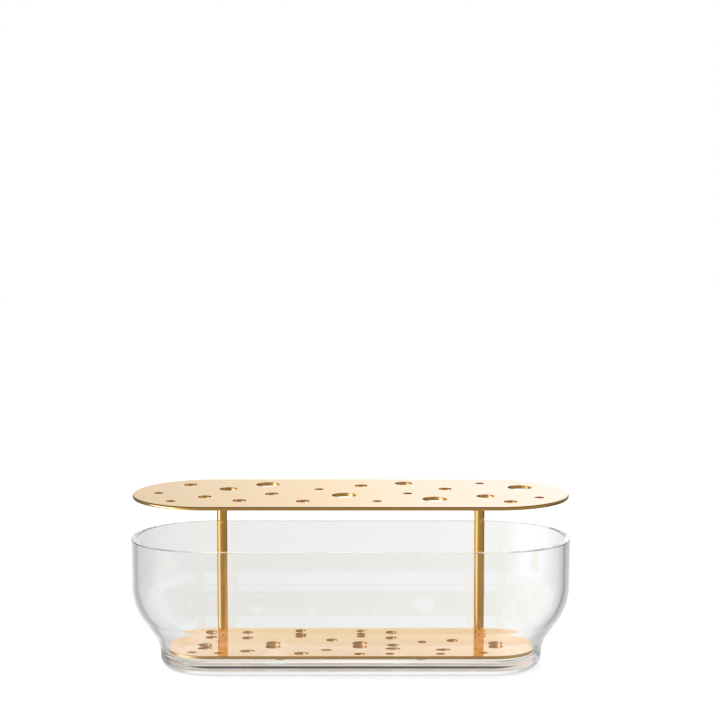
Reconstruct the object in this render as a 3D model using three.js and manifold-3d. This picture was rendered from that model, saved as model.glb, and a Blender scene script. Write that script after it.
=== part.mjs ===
// Ikebana vase: an oblong glass bowl with a lift-out brass insert that holds flower stems upright.
// Millimetres, +Z up. The origin is under the middle of the bowl, on the surface that it stands on.
// X runs along the bowl, Y across it, and the front faces -Y.
import * as THREE from 'three';
import { mergeVertices } from 'three/addons/utils/BufferGeometryUtils.js';
import Module from 'manifold-3d';

// Glass bowl
const bowlLength = 361.1;
const bowlDepth = 130;
const bowlHeight = 107.5;
const wall = 5.1;
const rimRounding = 0.6; // on both edges of the flat rim
const shoulderRadius = 53; // where the upright wall turns in
const slopeAngle = 34.2; // degrees from upright, between shoulder and neck
const neckRadius = 31.5; // the hollow curve from the slope into the foot
const footInset = 23.1; // how far the foot's side lies inside the upright wall
const footUpright = 0.4; // the upright stretch of the foot's side, between neck and rounding
const baseRadius = 8.6; // rounding under the foot
const standWidth = 6; // width of the flat ring that the bowl stands on
const kickHeight = 0.4; // rise of the underside inside that ring
const floorThickness = 11;
const innerCornerRadius = 5;

// Brass plates
const plateThickness = 3;
const upperPlateInset = 1.6; // from the bowl's outline to the upper plate's edge
const upperPlateLift = 33.3; // from the rim to the underside of the upper plate
const lowerPlateClearance = 1.2; // from the foot's inside wall to the lower plate's edge
const upperHoleDiameters = { small: 7.5, medium: 11, large: 15, wide: 20 };
const lowerHoleDiameters = { small: 7, medium: 9, large: 12 };

// Posts and what holds them
const postDiameter = 8.5;
const postInset = 9.6; // from the start of the bowl's round end to a post's axis
const postChamfer = 0.4;
const threadDiameter = 4;
const fitClearance = 0.3; // round every fastener
const screwLength = 14;
const screwHeadDiameter = 7.4;
const screwHeadSink = 0.2; // how deep the head's face lies in the lower plate
const socketAcrossFlats = 2.5;
const socketDepth = 1.4;
const studLength = 10;
const studFlangeDiameter = 5.4;
const studFlangeThickness = 0.8;
const boreTipRoom = 2; // room past the end of a fastener in its bore

// Bumper feet
const footDiameter = 9.5;
const footHeight = 3;
const footRounding = 1.4;
const footEdge = 9; // from the lower plate's edge to a foot's axis
const footAlong = 0.54; // place between the middle, 0, and a post, 1
const restGap = 0.3; // between the feet and the glass that they stand on

// Fineness of the round stretches
const turnSteps = 18; // along each half-round end of the bowl
const arcSteps = 6; // along each curve of the bowl's profile
const smallArcSteps = 3; // along the roundings of the rim and of a bumper foot
const shapeSteps = 10; // half the sides of a hole, and of a plate's round end
const roundSides = 24; // sides of posts, fasteners and feet

// The holes of each plate: along is 0 in the middle, 1 or -1 at a post and 2 or -2 at the plate's end,
// and across is 0 on the centre line, 1 at the back edge and -1 at the front edge.
const upperHoles = [
  { size: 'small', along: -1.71, across: -0.04 },
  { size: 'small', along: -1.52, across: -0.6 },
  { size: 'medium', along: -1.4, across: 0.56 },
  { size: 'medium', along: -1.17, across: -0.3 },
  { size: 'large', along: -0.96, across: 0.25 },
  { size: 'medium', along: -0.84, across: -0.56 },
  { size: 'wide', along: -0.66, across: 0.58 },
  { size: 'medium', along: -0.61, across: -0.1 },
  { size: 'medium', along: -0.36, across: -0.6 },
  { size: 'small', along: -0.25, across: 0.23 },
  { size: 'wide', along: -0.05, across: -0.19 },
  { size: 'medium', along: 0.08, across: 0.49 },
  { size: 'small', along: 0.2, across: -0.6 },
  { size: 'large', along: 0.42, across: 0.66 },
  { size: 'small', along: 0.44, across: -0.07 },
  { size: 'wide', along: 0.64, across: -0.46 },
  { size: 'medium', along: 0.74, across: 0.25 },
  { size: 'small', along: 1.04, across: 0.66 },
  { size: 'large', along: 1.05, across: -0.26 },
  { size: 'medium', along: 1.3, across: -0.63 },
  { size: 'wide', along: 1.48, across: 0.36 },
  { size: 'small', along: 1.64, across: -0.35 },
];
const lowerHoles = [
  { size: 'small', along: -1.52, across: -0.58 },
  { size: 'large', along: -1.33, across: -0.01 },
  { size: 'medium', along: -1.26, across: 0.67 },
  { size: 'small', along: -1.04, across: -0.67 },
  { size: 'medium', along: -0.82, across: 0.61 },
  { size: 'large', along: -0.8, across: -0.39 },
  { size: 'large', along: -0.61, across: 0.14 },
  { size: 'medium', along: -0.4, across: 0.75 },
  { size: 'large', along: -0.38, across: -0.69 },
  { size: 'medium', along: -0.19, across: -0.25 },
  { size: 'medium', along: -0.15, across: 0.42 },
  { size: 'small', along: 0.08, across: 0.75 },
  { size: 'large', along: 0.07, across: 0.15 },
  { size: 'medium', along: 0.07, across: -0.75 },
  { size: 'medium', along: 0.32, across: 0.61 },
  { size: 'large', along: 0.33, across: -0.06 },
  { size: 'small', along: 0.3, across: -0.74 },
  { size: 'small', along: 0.56, across: 0.26 },
  { size: 'small', along: 0.69, across: -0.75 },
  { size: 'large', along: 0.72, across: -0.21 },
  { size: 'medium', along: 0.8, across: 0.39 },
  { size: 'small', along: 1.09, across: 0.75 },
  { size: 'large', along: 1.32, across: 0.15 },
  { size: 'small', along: 1.05, across: -0.63 },
];

// Every outline is a straight stretch with a half round at each end, about the same two centres.
const rimRadius = bowlDepth / 2;
const straightHalf = bowlLength / 2 - rimRadius;
const footRadius = rimRadius - footInset;
const footTop = baseRadius + footUpright;
const upperPlateRadius = rimRadius - upperPlateInset;
const lowerPlateRadius = footRadius - wall - lowerPlateClearance;
const postX = straightHalf - postInset;

// Heights, from the glass floor up
const lowerPlateBottom = floorThickness + restGap + footHeight;
const lowerPlateTop = lowerPlateBottom + plateThickness;
const upperPlateBottom = bowlHeight + upperPlateLift;
const postLength = upperPlateBottom - lowerPlateTop;

const glass = new THREE.MeshStandardMaterial({
  color: '#e9eeeb', roughness: 0.03, metalness: 0, transparent: true, opacity: 0.35,
});
const brass = new THREE.MeshStandardMaterial({ color: '#d8ae67', roughness: 0.12, metalness: 1 });
const postBrass = new THREE.MeshStandardMaterial({ color: '#c99a52', roughness: 0.2, metalness: 1 });
const fastenerBrass = new THREE.MeshStandardMaterial({ color: '#b98d49', roughness: 0.35, metalness: 1 });
const clearRubber = new THREE.MeshStandardMaterial({
  color: '#e6e8e4', roughness: 0.3, metalness: 0, transparent: true, opacity: 0.6,
});

const wasm = await Module();
wasm.setup();

// Points of an arc in a profile, where x is the distance from the axis and y is the height.
function arc(centreX, centreY, radius, fromDegrees, toDegrees, steps = arcSteps) {
  return Array.from({ length: steps + 1 }, (_, i) => {
    const angle = THREE.MathUtils.degToRad(THREE.MathUtils.lerp(fromDegrees, toDegrees, i / steps));
    return new THREE.Vector2(centreX + radius * Math.cos(angle), centreY + radius * Math.sin(angle));
  });
}

// Sweeps a profile round a stadium outline. The profile starts and ends on the centre line, and runs from
// the underside up the outside and down the inside.
function stadiumSweep(profile) {
  const ringPoints = 2 * (turnSteps + 1);
  const positions = [];
  const rings = profile.map(({ x: radius, y: height }) => {
    const first = positions.length / 3;
    const points = radius > 0 ? ringPoints : 2;
    for (let i = 0; i < points; i++) {
      const side = i < points / 2 ? 1 : -1;
      const step = radius > 0 ? i - (side < 0 ? 1 : 0) : 0;
      const angle = -Math.PI / 2 + Math.PI * step / turnSteps;
      positions.push(side * straightHalf + radius * Math.cos(angle), radius * Math.sin(angle), height);
    }
    return (i) => first + (radius > 0 ? i % ringPoints : Number(i % ringPoints > turnSteps));
  });
  const triangles = [];
  const addTriangle = (a, b, c) => {
    if (a !== b && b !== c && c !== a) triangles.push(a, b, c);
  };
  for (let row = 0; row + 1 < rings.length; row++) {
    const [low, high] = [rings[row], rings[row + 1]];
    for (let i = 0; i < ringPoints; i++) {
      addTriangle(low(i), low(i + 1), high(i + 1));
      addTriangle(low(i), high(i + 1), high(i));
    }
  }
  const geometry = new THREE.BufferGeometry();
  geometry.setAttribute('position', new THREE.Float32BufferAttribute(positions, 3));
  geometry.setIndex(triangles);
  geometry.computeVertexNormals();
  return geometry;
}

// Turns a profile about the Z axis. It runs from the bottom of the axis up the outside to the top of the axis.
function turned(profile) {
  const points = profile.map(([radius, height]) => new THREE.Vector2(radius, height));
  return new THREE.LatheGeometry(points, roundSides).rotateX(Math.PI / 2);
}

function toSolid(geometry) {
  const bare = geometry.clone();
  bare.deleteAttribute('normal');
  bare.deleteAttribute('uv');
  const merged = mergeVertices(bare);
  const corners = merged.index.array;
  const triangles = [];
  for (let i = 0; i < corners.length; i += 3) {
    const [a, b, c] = corners.slice(i, i + 3);
    if (a !== b && b !== c && c !== a) triangles.push(a, b, c);
  }
  return new wasm.Manifold(new wasm.Mesh({
    numProp: 3,
    vertProperties: merged.attributes.position.array,
    triVerts: new Uint32Array(triangles),
  }));
}

function cutFrom(geometry, cutters) {
  const solid = cutters.reduce((left, cutter) => left.subtract(toSolid(cutter)), toSolid(geometry));
  const mesh = solid.getMesh();
  const result = new THREE.BufferGeometry();
  result.setAttribute('position', new THREE.BufferAttribute(mesh.vertProperties, 3));
  result.setIndex(new THREE.BufferAttribute(mesh.triVerts, 1));
  result.computeVertexNormals();
  return result;
}

function bowlGeometry() {
  const slope = THREE.MathUtils.degToRad(slopeAngle);
  const standRadius = footRadius - baseRadius;
  const kickRadius = standRadius - standWidth;
  const neckX = footRadius + neckRadius;
  const turnIn = (neckRadius + shoulderRadius) * (1 - Math.cos(slope));
  const slopeRise = (footInset - turnIn) / Math.tan(slope);
  const shoulderTop = footTop + slopeRise + (neckRadius + shoulderRadius) * Math.sin(slope);
  const shoulderX = rimRadius - shoulderRadius;

  // The rounding in the inside corner touches the floor and the neck's inside curve.
  const cornerY = floorThickness + innerCornerRadius;
  const cornerReach = neckRadius + wall + innerCornerRadius;
  const cornerX = neckX - Math.sqrt(cornerReach ** 2 - (cornerY - footTop) ** 2);
  const cornerAngle = THREE.MathUtils.radToDeg(Math.atan2(cornerY - footTop, cornerX - neckX));

  const underside = Array.from({ length: arcSteps }, (_, i) => {
    const share = i / arcSteps;
    return new THREE.Vector2(kickRadius * share, kickHeight * (1 - share ** 2));
  });
  return stadiumSweep([
    ...underside,
    new THREE.Vector2(kickRadius, 0),
    ...arc(standRadius, baseRadius, baseRadius, -90, 0),
    ...arc(neckX, footTop, neckRadius, 180, 180 - slopeAngle),
    ...arc(shoulderX, shoulderTop, shoulderRadius, -slopeAngle, 0),
    ...arc(rimRadius - rimRounding, bowlHeight - rimRounding, rimRounding, 0, 90, smallArcSteps),
    ...arc(rimRadius - wall + rimRounding, bowlHeight - rimRounding, rimRounding, 90, 180, smallArcSteps),
    ...arc(shoulderX, shoulderTop, shoulderRadius - wall, 0, -slopeAngle),
    ...arc(neckX, footTop, neckRadius + wall, 180 - slopeAngle, cornerAngle),
    ...arc(cornerX, cornerY, innerCornerRadius, cornerAngle - 180, -90).slice(1),
    new THREE.Vector2(0, floorThickness),
  ]);
}

// A flat plate with its underside at height 0.
function plateGeometry(radius, holes, diameters) {
  const outline = new THREE.Shape();
  outline.absarc(straightHalf, 0, radius, -Math.PI / 2, Math.PI / 2, false);
  outline.absarc(-straightHalf, 0, radius, Math.PI / 2, Math.PI * 1.5, false);
  outline.holes = holes.map(({ size, along, across }) => {
    const beyondPost = Math.max(0, Math.abs(along) - 1);
    const distance = Math.min(1, Math.abs(along)) * postX + beyondPost * (straightHalf + radius - postX);
    const hole = new THREE.Path();
    hole.absarc(Math.sign(along) * distance, across * radius, diameters[size] / 2, 0, Math.PI * 2, true);
    return hole;
  });
  return new THREE.ExtrudeGeometry(outline, {
    depth: plateThickness, bevelEnabled: false, curveSegments: shapeSteps,
  });
}

function lowerPlateGeometry() {
  const throughRadius = threadDiameter / 2 + fitClearance;
  const mouthRadius = screwHeadDiameter / 2 + fitClearance;
  const coneTop = screwHeadSink + mouthRadius - throughRadius;
  const past = plateThickness; // how far the cutter runs out of both faces
  const cutters = [-postX, postX].map((x) => turned([
    [0, -past],
    [mouthRadius, -past],
    [mouthRadius, screwHeadSink],
    [throughRadius, coneTop],
    [throughRadius, plateThickness + past],
    [0, plateThickness + past],
  ]).translate(x, 0, 0));
  return cutFrom(plateGeometry(lowerPlateRadius, lowerHoles, lowerHoleDiameters), cutters);
}

// A post stands on height 0, with a bore for the screw below and a stepped bore for the stud above.
function postGeometry() {
  const radius = postDiameter / 2;
  const boreRadius = threadDiameter / 2 + fitClearance;
  const screwBoreTop = screwLength - plateThickness + boreTipRoom;
  const studBoreBottom = postLength - studLength - boreTipRoom;
  const flangeRadius = studFlangeDiameter / 2 + fitClearance;
  const flangeSeat = postLength - studFlangeThickness - fitClearance;
  return turned([
    [0, screwBoreTop],
    [boreRadius, screwBoreTop],
    [boreRadius, 0],
    [radius - postChamfer, 0],
    [radius, postChamfer],
    [radius, postLength - postChamfer],
    [radius - postChamfer, postLength],
    [flangeRadius, postLength],
    [flangeRadius, flangeSeat],
    [boreRadius, flangeSeat],
    [boreRadius, studBoreBottom],
    [0, studBoreBottom],
  ]);
}

// A stud hangs from height 0, its flange uppermost.
function studGeometry() {
  const radius = threadDiameter / 2;
  return turned([
    [0, -studLength],
    [radius - postChamfer, -studLength],
    [radius, -studLength + postChamfer],
    [radius, -studFlangeThickness],
    [studFlangeDiameter / 2, -studFlangeThickness],
    [studFlangeDiameter / 2, 0],
    [0, 0],
  ]);
}

// A countersunk screw points up from height 0, the face of its head.
function screwGeometry() {
  const radius = threadDiameter / 2;
  const headRadius = screwHeadDiameter / 2;
  const body = turned([
    [0, 0],
    [headRadius, 0],
    [radius, headRadius - radius],
    [radius, screwLength - postChamfer],
    [radius - postChamfer, screwLength],
    [0, screwLength],
  ]);
  const socketRadius = socketAcrossFlats / 2 / Math.cos(Math.PI / 6);
  const socket = new THREE.CylinderGeometry(socketRadius, socketRadius, socketDepth * 2, 6).rotateX(Math.PI / 2);
  return cutFrom(body, [socket]);
}

// A bumper foot hangs from height 0, flat where it sticks to the plate and rounded where it stands.
function footGeometry() {
  const radius = footDiameter / 2;
  const rounding = arc(radius - footRounding, footRounding - footHeight, footRounding, -90, 0, smallArcSteps);
  return turned([[0, -footHeight], ...rounding.map(({ x, y }) => [x, y]), [radius, 0], [0, 0]]);
}

function addPiece(group, name, geometry, material, x = 0, y = 0, z = 0) {
  const piece = new THREE.Mesh(geometry, material);
  piece.name = name;
  piece.position.set(x, y, z);
  group.add(piece);
}

const vase = new THREE.Group();
const insert = new THREE.Group();
vase.add(insert);

addPiece(vase, 'glass_bowl', bowlGeometry(), glass);
addPiece(insert, 'upper_plate', plateGeometry(upperPlateRadius, upperHoles, upperHoleDiameters), brass,
  0, 0, upperPlateBottom);
addPiece(insert, 'lower_plate', lowerPlateGeometry(), brass, 0, 0, lowerPlateBottom);

for (const [sideName, side] of [['left', -1], ['right', 1]]) {
  const x = side * postX;
  addPiece(insert, `${sideName}_post`, postGeometry(), postBrass, x, 0, lowerPlateTop);
  addPiece(insert, `${sideName}_top_stud`, studGeometry(), fastenerBrass, x, 0, upperPlateBottom);
  addPiece(insert, `${sideName}_post_screw`, screwGeometry(), fastenerBrass, x, 0,
    lowerPlateBottom + screwHeadSink);
  for (const [rowName, row] of [['front', -1], ['back', 1]]) {
    addPiece(insert, `${rowName}_${sideName}_foot`, footGeometry(), clearRubber,
      side * footAlong * postX, row * (lowerPlateRadius - footEdge), lowerPlateBottom);
  }
}

export default vase;
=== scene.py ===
# Ikebana vase: a clear glass bowl and its lift-out brass insert, dressed for a white studio.
import math

import bpy
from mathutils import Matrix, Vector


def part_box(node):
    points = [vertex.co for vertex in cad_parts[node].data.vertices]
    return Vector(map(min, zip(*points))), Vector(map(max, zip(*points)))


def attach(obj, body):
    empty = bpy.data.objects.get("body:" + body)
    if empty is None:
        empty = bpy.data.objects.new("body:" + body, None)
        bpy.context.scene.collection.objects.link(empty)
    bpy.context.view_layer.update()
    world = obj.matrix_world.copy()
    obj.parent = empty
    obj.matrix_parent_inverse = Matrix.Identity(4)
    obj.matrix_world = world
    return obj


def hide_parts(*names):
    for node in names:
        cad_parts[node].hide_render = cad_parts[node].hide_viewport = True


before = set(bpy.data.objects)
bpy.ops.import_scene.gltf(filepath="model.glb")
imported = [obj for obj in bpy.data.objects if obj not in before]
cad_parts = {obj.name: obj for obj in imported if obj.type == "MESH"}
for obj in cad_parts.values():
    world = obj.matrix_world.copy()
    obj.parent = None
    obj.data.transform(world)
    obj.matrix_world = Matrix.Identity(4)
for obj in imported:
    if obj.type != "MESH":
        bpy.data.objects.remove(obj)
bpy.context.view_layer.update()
mm = 0.001

# Modelling helpers
drawing = {
    "nearPoints": 0.002 * mm,  # points closer than this become one
    "hold": 0.1 * mm,  # from the end of a straight run to the edge that keeps it straight
    "penSize": 10 * mm,
}


def clearSelection():
    bpy.ops.object.select_all(action="DESELECT")


def pick(piece):
    clearSelection()
    piece.select_set(True)
    bpy.context.view_layer.objects.active = piece


def editMode():
    bpy.ops.object.mode_set(mode="EDIT")


def objectMode():
    bpy.ops.object.mode_set(mode="OBJECT")


def selectAll():
    bpy.ops.mesh.select_all(action="SELECT")


def nameLast(name):
    piece = bpy.context.object
    piece.name = name
    piece.data.name = name
    return piece


def cleanMesh(threshold=drawing["nearPoints"]):
    selectAll()
    bpy.ops.mesh.remove_doubles(threshold=threshold)
    bpy.ops.mesh.dissolve_degenerate(threshold=threshold)
    selectAll()
    bpy.ops.mesh.normals_make_consistent(inside=False)


def settle(piece):
    # leaves the object at the origin, unturned, with its place in its mesh
    pick(piece)
    bpy.ops.object.transform_apply(location=True, rotation=True, scale=True)


def smoothTo(piece, degrees):
    pick(piece)
    bpy.ops.object.shade_smooth_by_angle(angle=math.radians(degrees))


def cutAway(piece, cutter):
    pick(piece)
    cut = piece.modifiers.new("cut", "BOOLEAN")
    cut.operation = "DIFFERENCE"
    cut.solver = "EXACT"
    cut.object = cutter
    bpy.ops.object.modifier_apply(modifier=cut.name)
    bpy.data.objects.remove(cutter)


def copyTo(piece, name, shift):
    pick(piece)
    bpy.ops.object.duplicate()
    bpy.ops.transform.translate(value=shift)
    twin = nameLast(name)
    settle(twin)
    return twin


def dress(piece, body, slotName, materials, *nodes):
    piece.data.materials.clear()
    for material in materials:
        piece.data.materials.append(material)
    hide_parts(*nodes)
    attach(piece, body)


def roundNode(node):
    # the upright axis, the radius, the bottom and the top of a round piece
    low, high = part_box(node)
    return (low.x + high.x) / 2, (low.y + high.y) / 2, (high.x - low.x) / 2, low.z, high.z


def penAt(name, point):
    # a plane merged to one vertex, from which a profile is drawn on the front side of an axis
    clearSelection()
    bpy.ops.mesh.primitive_plane_add(size=drawing["penSize"])
    piece = nameLast(name)
    editMode()
    bpy.ops.mesh.select_mode(type="VERT")
    selectAll()
    bpy.ops.mesh.merge(type="CENTER")
    bpy.ops.transform.translate(value=point)
    return piece


def extrudeBy(x, y, z):
    bpy.ops.mesh.extrude_region_move(TRANSFORM_OT_translate={"value": (x, y, z)})


def drawLine(y, z):
    extrudeBy(0, y, z)


def drawHeld(y, z):
    # a straight run with an extra edge near both ends, so that smooth shading leaves it straight
    share = drawing["hold"] / math.hypot(y, z)
    for part in (share, 1 - 2 * share, share):
        drawLine(part * y, part * z)


def drawArc(centre, degrees, steps):
    # a positive angle turns the pen from the front over the top
    bpy.ops.mesh.spin(steps=steps, angle=math.radians(degrees), center=centre, axis=(1, 0, 0))


def turnProfile(piece, x, y, steps, smoothAngle):
    # a whole turn of the drawn profile about the upright axis through x and y
    selectAll()
    bpy.ops.mesh.spin(steps=steps, angle=2 * math.pi, center=(x, y, 0), axis=(0, 0, 1))
    cleanMesh()
    objectMode()
    settle(piece)
    smoothTo(piece, smoothAngle)


# Camera
camera = {
    "lens": 82.61,  # in mm, as is the sensor
    "sensor": 36,
    "place": (0.00763, -1.34, 0.3927),
    "pitch": -5.94,  # degrees, a little down
}


def addCamera():
    tilt = math.radians(90 + camera["pitch"])
    bpy.ops.object.camera_add(location=camera["place"], rotation=(tilt, 0, 0))
    cam = bpy.context.object
    cam.data.lens = camera["lens"]
    cam.data.sensor_width = camera["sensor"]
    bpy.context.scene.camera = cam
    print("camera set")


addCamera()


# Finishes
def setInputs(node, inputs):
    for name, value in inputs.items():
        node.inputs[name].default_value = value


def addNode(tree, kind, **settings):
    node = tree.nodes.new(kind)
    for name, value in settings.items():
        setattr(node, name, value)
    return node


def addNoise(tree, vector, inputs):
    node = addNode(tree, "ShaderNodeTexNoise")
    setInputs(node, inputs)
    tree.links.new(vector, node.inputs["Vector"])
    return node.outputs["Fac"]


def addRange(tree, value, start, end, toStart=0, toEnd=1, kind="LINEAR"):
    node = addNode(tree, "ShaderNodeMapRange", interpolation_type=kind)
    setInputs(node, {"From Min": start, "From Max": end, "To Min": toStart, "To Max": toEnd})
    tree.links.new(value, node.inputs["Value"])
    return node.outputs["Result"]


def addBump(tree, height, inputs, shader):
    node = addNode(tree, "ShaderNodeBump")
    setInputs(node, inputs)
    tree.links.new(height, node.inputs["Height"])
    tree.links.new(node.outputs["Normal"], shader.inputs["Normal"])


def newMaterial(name, inputs):
    material = bpy.data.materials.new(name)
    material.use_nodes = True
    shader = material.node_tree.nodes["Principled BSDF"]
    setInputs(shader, inputs)
    return material, material.node_tree, shader


# each brass: its colour and the shade that clouds it, and its roughness where smooth and where hazy
brass = {
    "plateBrass": {
        "color": (0.86, 0.575, 0.23), "shade": (0.82, 0.53, 0.19), "smooth": 0.03, "hazy": 0.075,
    },
    "edgeBrass": {
        "color": (0.85, 0.51, 0.17), "shade": (0.76, 0.43, 0.12), "smooth": 0.1, "hazy": 0.22,
    },
    # the upper corners: brass painted nearly black, a painted dark reflection of the dark room in
    # front
    "cornerPaintedDarkReflection": {
        "color": (0.15, 0.075, 0.02), "shade": (0.12, 0.06, 0.015), "smooth": 0.15, "hazy": 0.3,
    },
    "postBrass": {
        "color": (0.86, 0.485, 0.13), "shade": (0.8, 0.425, 0.1), "smooth": 0.06, "hazy": 0.14,
    },
    "fastenerBrass": {
        "color": (0.74, 0.5, 0.2), "shade": (0.62, 0.4, 0.15), "smooth": 0.22, "hazy": 0.42,
    },
}
polishing = {
    "haze": {"Scale": 45, "Detail": 6, "Roughness": 0.6},
    "hazeSpread": (0.35, 0.7),  # smooth below the first level of the noise, hazy above the second
    "clouds": {"Scale": 14, "Detail": 3},
    "lines": {"Scale": 1, "Detail": 2},
    "lineStretch": (25, 900, 900),  # the lines run along the plates
    "lineBump": {"Strength": 0.5, "Distance": 0.004 * mm},
}


def polishGroup():
    # the haze, the clouds and the faint lines that polishing leaves on brass
    tree = bpy.data.node_groups.new("polish", "ShaderNodeTree")
    for name in ("Smooth", "Hazy"):
        tree.interface.new_socket(name, in_out="INPUT", socket_type="NodeSocketFloat")
    for name in ("Roughness", "Shade", "Lines"):
        tree.interface.new_socket(name, in_out="OUTPUT", socket_type="NodeSocketFloat")
    source = addNode(tree, "NodeGroupInput")
    result = addNode(tree, "NodeGroupOutput")
    place = addNode(tree, "ShaderNodeTexCoord").outputs["Object"]

    haze = addNoise(tree, place, polishing["haze"])
    spread = addRange(tree, haze, *polishing["hazeSpread"], kind="SMOOTHSTEP")
    level = addNode(tree, "ShaderNodeMix", data_type="FLOAT")
    tree.links.new(spread, level.inputs["Factor"])
    tree.links.new(source.outputs["Smooth"], level.inputs["A"])
    tree.links.new(source.outputs["Hazy"], level.inputs["B"])
    tree.links.new(level.outputs["Result"], result.inputs["Roughness"])

    clouds = addNoise(tree, place, polishing["clouds"])
    tree.links.new(clouds, result.inputs["Shade"])

    stretch = addNode(tree, "ShaderNodeMapping")
    setInputs(stretch, {"Scale": polishing["lineStretch"]})
    tree.links.new(place, stretch.inputs["Vector"])
    lines = addNoise(tree, stretch.outputs["Vector"], polishing["lines"])
    tree.links.new(lines, result.inputs["Lines"])
    return tree


polish = polishGroup()


def brassMaterial(name):
    values = brass[name]
    material, tree, shader = newMaterial(name, {"Metallic": 1})
    worked = addNode(tree, "ShaderNodeGroup", node_tree=polish)
    setInputs(worked, {"Smooth": values["smooth"], "Hazy": values["hazy"]})
    tree.links.new(worked.outputs["Roughness"], shader.inputs["Roughness"])
    tone = addNode(tree, "ShaderNodeMix", data_type="RGBA")
    setInputs(tone, {"A": (*values["color"], 1), "B": (*values["shade"], 1)})
    tree.links.new(worked.outputs["Shade"], tone.inputs["Factor"])
    tree.links.new(tone.outputs["Result"], shader.inputs["Base Color"])
    addBump(tree, worked.outputs["Lines"], polishing["lineBump"], shader)
    return material


glass = {
    "tint": (0.984, 0.988, 0.972),
    "ior": 1.5,
    "waves": {"Scale": 28, "Detail": 1},
    "waveBump": {"Strength": 1, "Distance": 0.12 * mm},
}


def glassMaterial():
    # formed glass is never quite even, so its surface swims a little
    material, tree, shader = newMaterial("clearGlass", {
        "Base Color": (*glass["tint"], 1),
        "Roughness": 0,
        "IOR": glass["ior"],
        "Transmission Weight": 1,
    })
    place = addNode(tree, "ShaderNodeTexCoord").outputs["Object"]
    waves = addNoise(tree, place, glass["waves"])
    addBump(tree, waves, glass["waveBump"], shader)
    return material


rubber = {
    "tint": (0.93, 0.94, 0.92),
    "ior": 1.42,
    "clearness": 0.9,
    "bloom": {"Scale": 400},
    "roughness": (0.08, 0.2),  # where clear, and where bloom dulls it
}


def rubberMaterial():
    material, tree, shader = newMaterial("clearRubber", {
        "Base Color": (*rubber["tint"], 1),
        "IOR": rubber["ior"],
        "Transmission Weight": rubber["clearness"],
    })
    place = addNode(tree, "ShaderNodeTexCoord").outputs["Object"]
    bloom = addNoise(tree, place, rubber["bloom"])
    dulled = addRange(tree, bloom, 0, 1, *rubber["roughness"])
    tree.links.new(dulled, shader.inputs["Roughness"])
    return material


clearGlass = glassMaterial()
clearRubber = rubberMaterial()
plateBrass = brassMaterial("plateBrass")
edgeBrass = brassMaterial("edgeBrass")
# brass darkened to nearly black: the painted dark reflection along the plates' upper corners
cornerPaintedDarkReflection = brassMaterial("cornerPaintedDarkReflection")
postBrass = brassMaterial("postBrass")
fastenerBrass = brassMaterial("fastenerBrass")
print("finishes ready")


# Glass bowl
bowl = {
    "wall": 5.1 * mm,
    "rimRounding": 0.6 * mm,
    "shoulderRadius": 53 * mm,
    "slopeAngle": 34.2,  # degrees from upright
    "neckRadius": 31.5 * mm,
    "footInset": 23.1 * mm,  # from the rim's outside in to the foot's
    "footTop": 9 * mm,  # where the neck starts
    "baseRadius": 8.6 * mm,
    "standWidth": 6 * mm,  # the flat ring it stands on
    "kickHeight": 0.4 * mm,  # rise of the underside within the ring
    "floorThickness": 11 * mm,
    "innerCornerRadius": 5 * mm,
    "curveSteps": 14,
    "shoulderSteps": 28,
    "rimSteps": 6,
    "turnSteps": 64,
    "sideSteps": 48,
    "smoothAngle": 60,
}
bowlLow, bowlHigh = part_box("glass_bowl")
rimRadius = (bowlHigh.y - bowlLow.y) / 2
straightHalf = bowlHigh.x - rimRadius


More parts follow.
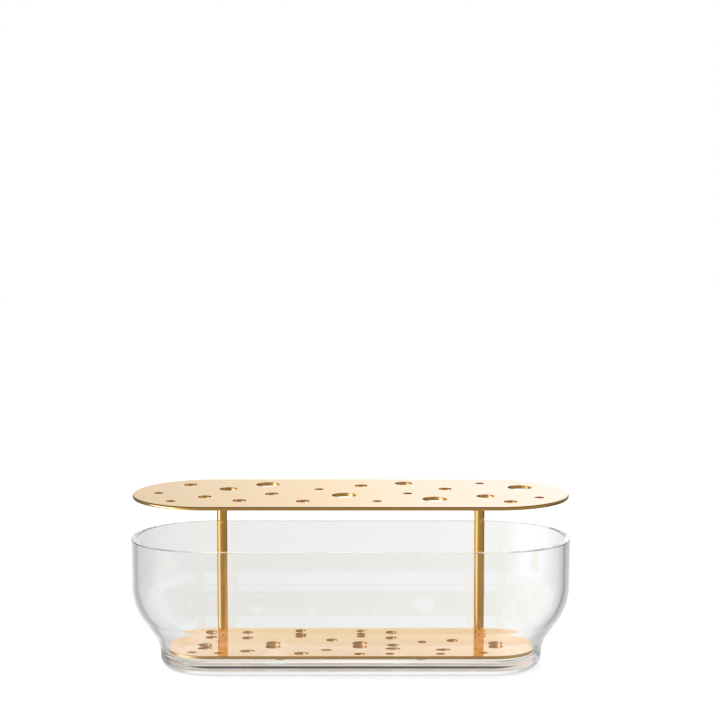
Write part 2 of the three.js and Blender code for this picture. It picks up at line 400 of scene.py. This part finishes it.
def makeBowl():
    b = bowl
    slopeAngle, steps = b["slopeAngle"], b["curveSteps"]
    slope = math.radians(slopeAngle)
    footRadius = rimRadius - b["footInset"]
    standRadius = footRadius - b["baseRadius"]
    kickRadius = standRadius - b["standWidth"]
    neckY = footRadius + b["neckRadius"]
    shoulderY = rimRadius - b["shoulderRadius"]
    curves = b["neckRadius"] + b["shoulderRadius"]
    turnIn = curves * (1 - math.cos(slope))
    slopeRise = (b["footInset"] - turnIn) / math.tan(slope)
    slopeRun = slopeRise * math.tan(slope)
    shoulderTop = b["footTop"] + slopeRise + curves * math.sin(slope)
    lipZ = bowlHigh.z - b["rimRounding"]
    lipY = b["rimRounding"] - rimRadius
    innerLipY = b["wall"] - b["rimRounding"] - rimRadius
    cornerZ = b["floorThickness"] + b["innerCornerRadius"]
    reach = b["neckRadius"] + b["wall"] + b["innerCornerRadius"]
    cornerRise = cornerZ - b["footTop"]
    cornerY = neckY - math.sqrt(reach ** 2 - cornerRise ** 2)
    cornerAngle = math.degrees(math.asin(cornerRise / reach))
    kickCurve = (kickRadius ** 2 + b["kickHeight"] ** 2) / (2 * b["kickHeight"])
    kickAngle = math.degrees(math.asin(kickRadius / kickCurve))
    x = straightHalf

    # the profile of the front wall: from the underside up the outside to the rim
    piece = penAt("glassBowl", (x, 0, b["kickHeight"]))
    drawArc((x, 0, b["kickHeight"] - kickCurve), -kickAngle, steps)
    drawHeld(kickRadius - standRadius, 0)
    drawArc((x, -standRadius, b["baseRadius"]), 90, steps)
    drawHeld(0, b["footTop"] - b["baseRadius"])
    drawArc((x, -neckY, b["footTop"]), -slopeAngle, steps)
    drawHeld(-slopeRun, slopeRise)
    drawArc((x, -shoulderY, shoulderTop), slopeAngle, b["shoulderSteps"])
    drawHeld(0, lipZ - shoulderTop)

    # over the flat rim and down the inside to the middle of the floor
    drawArc((x, lipY, lipZ), 90, b["rimSteps"])
    drawHeld(b["wall"] - 2 * b["rimRounding"], 0)
    drawArc((x, innerLipY, lipZ), 90, b["rimSteps"])
    drawHeld(0, shoulderTop - lipZ)
    drawArc((x, -shoulderY, shoulderTop), -slopeAngle, b["shoulderSteps"])
    drawHeld(slopeRun, -slopeRise)
    drawArc((x, -neckY, b["footTop"]), slopeAngle - cornerAngle, steps)
    drawArc((x, -cornerY, cornerZ), cornerAngle - 90, steps)
    drawHeld(cornerY, 0)

    # round one end, along the back, round the other end and along the front to the start
    stretch = 2 * straightHalf / b["sideSteps"]
    selectAll()
    for end in (1, -1):
        bpy.ops.mesh.spin(
            steps=b["turnSteps"], angle=-math.pi,
            center=(end * straightHalf, 0, 0), axis=(0, 0, 1))
        for _ in range(b["sideSteps"]):
            extrudeBy(-end * stretch, 0, 0)
    cleanMesh()
    objectMode()
    settle(piece)
    smoothTo(piece, b["smoothAngle"])
    dress(piece, "bowl", "glass", [clearGlass], "glass_bowl")
    print("bowl made", len(piece.data.polygons), "faces")


makeBowl()

# Brass plates
postX = (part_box("right_post")[0].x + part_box("right_post")[1].x) / 2
plates = {
    "cornerSteps": 48,
    "edgeSteps": 4,
    "holeSides": 72,
    "holeRound": 0.15 * mm,
    "holeRoundSteps": 2,
    "drillLength": 4,  # in thicknesses of the plate
    "drillClear": 2 * mm,  # how far a cutter reaches past the plate
    "nearPoints": 0.005 * mm,  # closer ones at a hole become one
    "flatAngle": 0.5,  # faces within this many degrees are one
    "sharpAngle": 60,  # edges past this many degrees are softened
    "smoothAngle": 20,
    # by how far a face looks up or down: 0 for an upright face, 1 for a level one; the first range
    # picks the upper corners' faces that get the painted dark reflection
    "paintedReflectionFaces": (0.35, 0.97),
    "edgeFaces": 0.8,
    "levelFaces": 0.999,
}
# a hole: its size, its place along (1 at a post, 2 at the end) and across (1 at the back edge)
upperPlate = {
    "name": "upperPlate",
    "node": "upper_plate",
    "edgeRound": 1.1 * mm,
    # the holes' diameters
    "small": 7.5 * mm,
    "medium": 11 * mm,
    "large": 15 * mm,
    "wide": 20 * mm,
    "holes": [
        ("small", -1.71, -0.04), ("small", -1.52, -0.6), ("medium", -1.4, 0.56),
        ("medium", -1.17, -0.3), ("large", -0.96, 0.25), ("medium", -0.84, -0.56),
        ("wide", -0.66, 0.58), ("medium", -0.61, -0.1), ("medium", -0.36, -0.6),
        ("small", -0.25, 0.23), ("wide", -0.05, -0.19), ("medium", 0.08, 0.49),
        ("small", 0.2, -0.6), ("large", 0.42, 0.66), ("small", 0.44, -0.07),
        ("wide", 0.64, -0.46), ("medium", 0.74, 0.25), ("small", 1.04, 0.66),
        ("large", 1.05, -0.26), ("medium", 1.3, -0.63), ("wide", 1.48, 0.36),
        ("small", 1.64, -0.35),
    ],
    "sinks": [],
}
lowerPlate = {
    "name": "lowerPlate",
    "node": "lower_plate",
    "edgeRound": 0.4 * mm,
    # the holes' diameters
    "small": 7 * mm,
    "medium": 9 * mm,
    "large": 12 * mm,
    "holes": [
        ("small", -1.52, -0.58), ("large", -1.33, -0.01), ("medium", -1.26, 0.67),
        ("small", -1.04, -0.67), ("medium", -0.82, 0.61), ("large", -0.8, -0.39),
        ("large", -0.61, 0.14), ("medium", -0.4, 0.75), ("large", -0.38, -0.69),
        ("medium", -0.19, -0.25), ("medium", -0.15, 0.42), ("small", 0.08, 0.75),
        ("large", 0.07, 0.15), ("medium", 0.07, -0.75), ("medium", 0.32, 0.61),
        ("large", 0.33, -0.06), ("small", 0.3, -0.74), ("small", 0.56, 0.26),
        ("small", 0.69, -0.75), ("large", 0.72, -0.21), ("medium", 0.8, 0.39),
        ("small", 1.09, 0.75), ("large", 1.32, 0.15), ("small", 1.05, -0.63),
    ],
    # under each post, for a screw from below, with radii
    "sinks": [-1, 1],
    "sinkMouth": 4 * mm,
    "sinkRim": 0.2 * mm,
    "sinkSmoothAngle": 30,
    "screwHole": 2.3 * mm,
}


def screwSink(x, plate, underside):
    # a cutter: the screw's hole, widened to a cone for its head
    clear = plates["drillClear"]
    narrow = plate["sinkMouth"] - plate["screwHole"]
    coneTop = underside + plate["sinkRim"] + narrow
    piece = penAt("screwSink", (x, 0, coneTop + 2 * clear))
    drawLine(-plate["screwHole"], 0)
    drawLine(0, -2 * clear)
    drawLine(-narrow, -narrow)
    drawLine(0, -plate["sinkRim"] - clear)
    drawLine(plate["sinkMouth"], 0)
    turnProfile(piece, x, 0, plates["holeSides"], plate["sinkSmoothAngle"])
    return piece


def plateSheet(plate, length, radius, thickness, middle):
    # the outline: a rectangle whose corners are rounded until its ends are half circles
    clearSelection()
    bpy.ops.mesh.primitive_plane_add(size=1)
    editMode()
    selectAll()
    bpy.ops.transform.resize(value=(length, 2 * radius, 1))
    bpy.ops.mesh.bevel(
        affect="VERTICES", offset=radius, offset_type="OFFSET",
        segments=plates["cornerSteps"], profile=0.5, clamp_overlap=True)
    selectAll()
    bpy.ops.mesh.remove_doubles(threshold=drawing["nearPoints"])
    selectAll()
    bpy.ops.mesh.delete(type="ONLY_FACE")
    objectMode()

    # the sheet: the outline filled and thickened, its outer edge softened
    bpy.ops.object.convert(target="CURVE")
    sheet = bpy.context.object.data
    sheet.dimensions = "2D"
    sheet.fill_mode = "BOTH"
    sheet.extrude = thickness / 2 - plate["edgeRound"]
    sheet.bevel_depth = plate["edgeRound"]
    sheet.bevel_resolution = plates["edgeSteps"]
    sheet.offset = -plate["edgeRound"]
    bpy.ops.object.convert(target="MESH")
    piece = nameLast(plate["name"])
    piece.location.z = middle
    settle(piece)
    editMode()
    cleanMesh()
    objectMode()
    return piece


def makePlate(plate):
    low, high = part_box(plate["node"])
    radius = (high.y - low.y) / 2
    length = high.x - low.x
    thickness = high.z - low.z
    middle = (low.z + high.z) / 2
    piece = plateSheet(plate, length, radius, thickness, middle)

    # the holes, drilled together
    clearSelection()
    for number, (size, along, across) in enumerate(plate["holes"]):
        past = max(0, abs(along) - 1)
        reach = min(1, abs(along)) * postX + past * (length / 2 - postX)
        bpy.ops.mesh.primitive_cylinder_add(
            vertices=plates["holeSides"], radius=plate[size] / 2,
            depth=plates["drillLength"] * thickness,
            location=(math.copysign(reach, along), across * radius, middle))
        if number == 0:
            drill = bpy.context.object
            editMode()
    objectMode()
    cutAway(piece, drill)
    for side in plate["sinks"]:
        cutAway(piece, screwSink(side * postX, plate, low.z))

    # the rims of the holes, softened
    pick(piece)
    editMode()
    cleanMesh(plates["nearPoints"])
    bpy.ops.mesh.dissolve_limited(angle_limit=math.radians(plates["flatAngle"]))
    bpy.ops.mesh.select_mode(type="EDGE")
    bpy.ops.mesh.select_all(action="DESELECT")
    bpy.ops.mesh.edges_select_sharp(sharpness=math.radians(plates["sharpAngle"]))
    bpy.ops.mesh.bevel(
        offset=plates["holeRound"], segments=plates["holeRoundSteps"], profile=0.5)
    selectAll()
    bpy.ops.mesh.quads_convert_to_tris(quad_method="BEAUTY", ngon_method="BEAUTY")
    objectMode()
    smoothTo(piece, plates["smoothAngle"])

    # bright level faces, deeper brass on the edges and a painted dark reflection as a line on the
    # upper corners
    finishes = [plateBrass, edgeBrass, cornerPaintedDarkReflection]
    dress(piece, "insert", "plate_brass", finishes, plate["node"])
    paintedReflectionFrom, paintedReflectionTo = plates["paintedReflectionFaces"]
    for face in piece.data.polygons:
        level = abs(face.normal.z)
        if paintedReflectionFrom < face.normal.z < paintedReflectionTo:
            finish = cornerPaintedDarkReflection
        elif level < plates["edgeFaces"]:
            finish = edgeBrass
        else:
            finish = plateBrass
        face.material_index = finishes.index(finish)
        face.use_smooth = level < plates["levelFaces"]
    print(plate["name"], "made", len(piece.data.polygons), "faces")


makePlate(upperPlate)
makePlate(lowerPlate)

# Posts
post = {
    "sides": 96,
    "chamfer": 0.4 * mm,
    "chamferSteps": 4,
    "bore": 2.3 * mm,  # radius
    "screwDepth": 13 * mm,
    "studDepth": 12 * mm,
    "flangeSeat": 3 * mm,  # radius
    "flangeDepth": 1.1 * mm,
    "smoothAngle": 40,
}


def makePost(name, node):
    x, y, radius, bottom, top = roundNode(node)
    chamfer, steps = post["chamfer"], post["chamferSteps"]
    edgeY = y - radius + chamfer
    # up from the screw's bore, over the outside and down into the stepped bore of the stud
    piece = penAt(name, (x, y, bottom + post["screwDepth"]))
    drawLine(-post["bore"], 0)
    drawLine(0, -post["screwDepth"])
    drawHeld(post["bore"] - radius + chamfer, 0)
    drawArc((x, edgeY, bottom + chamfer), 90, steps)
    drawHeld(0, top - bottom - 2 * chamfer)
    drawArc((x, edgeY, top - chamfer), 90, steps)
    drawHeld(radius - chamfer - post["flangeSeat"], 0)
    drawLine(0, -post["flangeDepth"])
    drawLine(post["flangeSeat"] - post["bore"], 0)
    drawLine(0, post["flangeDepth"] - post["studDepth"])
    drawLine(post["bore"], 0)
    turnProfile(piece, x, y, post["sides"], post["smoothAngle"])
    return piece


leftPost = makePost("leftPost", "left_post")
rightPost = copyTo(leftPost, "rightPost", (2 * postX, 0, 0))
dress(leftPost, "insert", "post_brass", [postBrass], "left_post")
dress(rightPost, "insert", "post_brass", [postBrass], "right_post")
print("posts made")

# Fasteners
screw = {
    "sides": 64,
    "shank": 2 * mm,  # radius
    "tip": 0.4 * mm,
    "headEdge": 0.15 * mm,
    "headEdgeSteps": 3,
    "socketSides": 6,
    "socketAcross": 2.5 * mm,  # between the flats of its six sides
    "socketDepth": 1.4 * mm,
    "smoothAngle": 30,
}


def makeScrew(name, node):
    x, y, headRadius, bottom, top = roundNode(node)
    edge, tip, shank = screw["headEdge"], screw["tip"], screw["shank"]
    narrow = headRadius - shank
    piece = penAt(name, (x, y, bottom))
    drawLine(edge - headRadius, 0)
    drawArc((x, y - headRadius + edge, bottom + edge), 90, screw["headEdgeSteps"])
    drawLine(narrow, narrow)
    drawLine(0, top - bottom - edge - tip - narrow)
    drawLine(tip, tip)
    drawLine(shank - tip, 0)
    turnProfile(piece, x, y, screw["sides"], screw["smoothAngle"])
    clearSelection()
    bpy.ops.mesh.primitive_cylinder_add(
        vertices=screw["socketSides"], radius=screw["socketAcross"] / math.sqrt(3),
        depth=2 * screw["socketDepth"], location=(x, y, bottom))
    cutAway(piece, bpy.context.object)
    smoothTo(piece, screw["smoothAngle"])
    return piece


leftScrew = makeScrew("leftPostScrew", "left_post_screw")
rightScrew = copyTo(leftScrew, "rightPostScrew", (2 * postX, 0, 0))
dress(leftScrew, "insert", "fastener_brass", [fastenerBrass], "left_post_screw")
dress(rightScrew, "insert", "fastener_brass", [fastenerBrass], "right_post_screw")
for node in ("left_top_stud", "right_top_stud"):
    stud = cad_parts[node].data
    stud.materials.clear()
    stud.materials.append(fastenerBrass)
print("fasteners made")

# Bumper feet
bumper = {
    "sides": 64,
    "rounding": 1.4 * mm,
    "roundingSteps": 10,
    "lip": 0.3 * mm,
    "lipSteps": 4,
    "smoothAngle": 40,
}


def makeBumper(name, node):
    x, y, radius, bottom, top = roundNode(node)
    rounding, lip = bumper["rounding"], bumper["lip"]
    piece = penAt(name, (x, y, bottom))
    drawHeld(rounding - radius, 0)
    drawArc((x, y - radius + rounding, bottom + rounding), 90, bumper["roundingSteps"])
    drawHeld(0, top - bottom - rounding - lip)
    drawArc((x, y - radius + lip, top - lip), 90, bumper["lipSteps"])
    drawHeld(radius - lip, 0)
    turnProfile(piece, x, y, bumper["sides"], bumper["smoothAngle"])
    return piece


firstBumper = makeBumper("frontLeftBumper", "front_left_foot")
bumpers = {"front_left_foot": firstBumper}
for name, node in (
    ("frontRightBumper", "front_right_foot"),
    ("backLeftBumper", "back_left_foot"),
    ("backRightBumper", "back_right_foot"),
):
    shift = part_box(node)[0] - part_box("front_left_foot")[0]
    bumpers[node] = copyTo(firstBumper, name, shift)
for node, piece in bumpers.items():
    dress(piece, "insert", "clear_rubber", [clearRubber], node)
print("feet made")

# Studio
studio = {
    "floorSize": 8,
    "floorDrop": 0.2 * mm,
    "floorColor": (0.9, 0.9, 0.9, 1),
    "floorGlow": 0.55,
    # each ramp: share of a turn from the front through the left (0.25), the back (0.5)
    # and the right (0.75), and the light there
    "aboveHorizon": [
        (0.18, 0.6), (0.28, 0.7), (0.34, 0.8), (0.476, 0.86), (0.498, 1.1),
        (0.503, (1.2, 1.2, 1.35)), (0.52, (1.33, 1.33, 1.65)), (0.66, (1.33, 1.33, 1.5)),
        (0.74, 0.6),
    ],
    "belowHorizon": [
        (0.0, 0.36), (0.05, 0.42), (0.09, 0.6), (0.125, (1.2, 1.25, 1.6)),
        (0.145, (1.8, 2.25, 4.3)), (0.235, (1.8, 2.25, 4.3)), (0.258, (1.3, 1.4, 2.1)),
        (0.272, 0.35), (0.33, 0.24), (0.36, 0.14), (0.41, 0.15), (0.45, 0.6), (0.475, 0.9),
        (0.53, 0.95), (0.555, 0.6), (0.6, 0.15), (0.66, 0.08), (0.72, 0.15), (0.77, 0.3),
        (0.83, 0.36),
    ],
    "insideBowl": [
        (0.0, 0.36), (0.05, 0.42), (0.09, 0.6), (0.13, (1.1, 1.2, 1.6)),
        (0.16, (1.6, 1.95, 3.6)), (0.23, (1.6, 1.95, 3.6)), (0.3, 0.5), (0.4, 0.7),
        (0.45, 0.85), (0.5, 0.92), (0.55, 0.9), (0.6, 0.65), (0.66, 0.45), (0.72, 0.36),
        (0.83, 0.4), (1.0, 0.36),
    ],
    "outsideGlass": [
        (0.0, 0.36), (0.1, 0.5), (0.14, 0.3), (0.25, 0.3), (0.33, 0.5), (0.4, 0.5),
        (0.46, 0.9), (0.53, 1.0), (0.56, 0.6), (0.6, 0.5), (0.63, 0.2), (0.67, 0.7),
        (0.71, 1.1), (0.76, 1.4), (0.85, 1.3), (0.92, 0.6), (1.0, 0.36),
    ],
    "withinGlass": [
        (0.0, 0.36), (0.09, 0.6), (0.13, (1.1, 1.2, 1.5)), (0.15, (1.7, 1.85, 2.2)),
        (0.23, (1.7, 1.85, 2.2)), (0.26, 0.9), (0.3, 0.65), (0.36, 0.5), (0.4, 0.45),
        (0.43, 0.6), (0.46, 0.95), (0.5, 1.1), (0.535, 1.0), (0.55, 0.65), (0.57, 0.55),
        (0.6, 0.6), (0.63, 0.2), (0.67, 0.2), (0.76, 0.3), (0.85, 0.36),
    ],
    "through": [
        (0.0, 0.85), (0.2, 0.8), (0.25, 0.7), (0.36, 0.7), (0.39, 0.6), (0.43, 0.65),
        (0.46, 0.78), (0.48, 0.87), (0.5, 0.93), (0.52, 0.99), (0.535, 0.93), (0.56, 0.68),
        (0.6, 0.55), (0.64, 0.7), (0.75, 0.65), (0.8, 0.8), (1.0, 0.85),
    ],
    # dark in front, which draws the plates' edges
    "ceiling": [
        (0.045, (0.055, 0.03, 0.012)), (0.08, 0.9), (0.92, 0.9), (0.955, (0.055, 0.03, 0.012)),
    ],
    # this one by height, from the horizon to straight above
    "overGlass": [
        (0.15, 0.8), (0.18, 1.3), (0.235, 1.3), (0.285, 0.08), (0.42, 0.08), (0.52, 0.8),
    ],
    "zenith": 0.9,
    "gathered": (1.15, 1.17, 1.35),
    "skylight": 1.0,
    "underfoot": 0.8,
    "onMatt": 0.8,  # what falls on matt surfaces
    "backdrop": 1.0,  # what the camera sees behind the vase
    # the heights between which one light gives way to the next, from -1 below to 1 above
    "horizon": (-0.04, 0.04),
    "ceilingBlend": (0.3, 0.5),
    "zenithBlend": (0.97, 0.99),
    "underfootBlend": (-0.5, -0.8),
    "skylightBlend": (0.5, 0.85),
    "glassPasses": (4, 3),  # none after four passes through glass, all up to three
    "rampTop": 4.5,  # brighter than any light above
    "bounces": 32,
    "softboxPlace": (-0.83, -0.35, 0.25),
    "softboxSize": (0.9, 0.9),
    "softboxPower": 3.4,
}


def addFloor():
    clearSelection()
    drop = (0, 0, -studio["floorDrop"])
    bpy.ops.mesh.primitive_plane_add(size=studio["floorSize"], location=drop)
    floor = nameLast("floor")
    material, _, _ = newMaterial("floorWhite", {
        "Base Color": studio["floorColor"],
        "Roughness": 1,
        "Specular IOR Level": 0,
        "Emission Color": (1, 1, 1, 1),
        "Emission Strength": studio["floorGlow"],
    })
    floor.data.materials.append(material)
    floor.visible_glossy = False
    floor.visible_transmission = False


def worldColor(level):
    # a share of the brightest light, which the background's strength gives back
    parts = level if isinstance(level, tuple) else (level, level, level)
    return (*(part / studio["rampTop"] for part in parts), 1)


def addMath(tree, operation, first, second):
    node = addNode(tree, "ShaderNodeMath", operation=operation)
    tree.links.new(first, node.inputs[0])
    tree.links.new(second, node.inputs[1])
    return node.outputs["Value"]


def addLimit(tree, count):
    # 0 or 1 from a count
    return addRange(tree, count, 0, 1)


def addRamp(tree, value, stops):
    node = addNode(tree, "ShaderNodeValToRGB")
    elements = node.color_ramp.elements
    while len(elements) < len(stops):
        elements.new(0.5)
    for element, (position, level) in zip(elements, stops):
        element.position = position
        element.color = worldColor(level)
    tree.links.new(value, node.inputs["Fac"])
    return node.outputs["Color"]


def addMix(tree, share, a, b, blend="MIX"):
    node = addNode(tree, "ShaderNodeMix", data_type="RGBA", blend_type=blend)
    tree.links.new(share, node.inputs["Factor"])
    for socket, value in ((node.inputs["A"], a), (node.inputs["B"], b)):
        if isinstance(value, (float, tuple)):
            socket.default_value = worldColor(value)
        else:
            tree.links.new(value, socket)
    return node.outputs["Result"]


def addWorld():
    world = bpy.data.worlds.new("studio")
    bpy.context.scene.world = world
    world.use_nodes = True
    tree = world.node_tree
    path = addNode(tree, "ShaderNodeLightPath").outputs
    coords = addNode(tree, "ShaderNodeTexCoord")
    split = addNode(tree, "ShaderNodeSeparateXYZ")
    tree.links.new(coords.outputs["Generated"], split.inputs["Vector"])
    turn = addMath(tree, "ARCTAN2", split.outputs["X"], split.outputs["Y"])
    share = addRange(tree, turn, -math.pi, math.pi)
    height = split.outputs["Z"]

    def ramp(name):
        return addRamp(tree, share, studio[name])

    def atHeight(name):
        return addRange(tree, height, *studio[name])

    # what brass mirrors: the room and its ceiling, and in the bowl light gathered from all round
    depth = path["Transmission Depth"]
    inBowl = addLimit(tree, depth)
    upward = atHeight("horizon")
    ceiling = addMix(tree, atHeight("zenithBlend"), ramp("ceiling"), studio["zenith"])
    above = addMix(tree, atHeight("ceilingBlend"), ramp("aboveHorizon"), ceiling)
    above = addMix(tree, inBowl, above, studio["gathered"], "LIGHTEN")
    below = addMix(tree, inBowl, ramp("belowHorizon"), ramp("insideBowl"))
    mirrored = addMix(tree, upward, below, above)

    # what the glass itself mirrors: sharply, and through no more than one wall
    shallow = addRange(tree, depth, *studio["glassPasses"])
    byGlass = addMath(tree, "MULTIPLY", path["Is Singular Ray"], shallow)
    around = addMix(tree, inBowl, ramp("outsideGlass"), ramp("withinGlass"))
    over = addRamp(tree, addRange(tree, height, 0, 1), studio["overGlass"])
    mirrored = addMix(tree, byGlass, mirrored, addMix(tree, upward, around, over))

    # what shows through the glass
    through = addMix(tree, atHeight("underfootBlend"), ramp("through"), studio["underfoot"])
    through = addMix(tree, atHeight("skylightBlend"), through, studio["skylight"])

    seen = addMix(tree, addLimit(tree, path["Glossy Depth"]), through, mirrored)
    seen = addMix(tree, path["Is Diffuse Ray"], seen, studio["onMatt"])
    seen = addMix(tree, path["Is Camera Ray"], seen, studio["backdrop"])
    background = tree.nodes["Background"]
    setInputs(background, {"Strength": studio["rampTop"]})
    tree.links.new(seen, background.inputs["Color"])


def addSoftbox():
    x, y, z = studio["softboxPlace"]
    facing = (math.radians(90), 0, math.atan2(x, -y))
    bpy.ops.object.light_add(type="AREA", location=(x, y, z), rotation=facing)
    lamp = bpy.context.object
    lamp.name = "softbox"
    lamp.data.shape = "RECTANGLE"
    lamp.data.size, lamp.data.size_y = studio["softboxSize"]
    lamp.data.energy = studio["softboxPower"]
    lamp.visible_glossy = False
    lamp.visible_transmission = False


addFloor()
addWorld()
addSoftbox()
bpy.context.scene.view_settings.view_transform = "Standard"
# light runs a long way inside thick glass, and its edges go black where it is cut short
lightPaths = bpy.context.scene.cycles
lightPaths.max_bounces = studio["bounces"]
lightPaths.glossy_bounces = studio["bounces"]
lightPaths.transmission_bounces = studio["bounces"]
print("studio set")
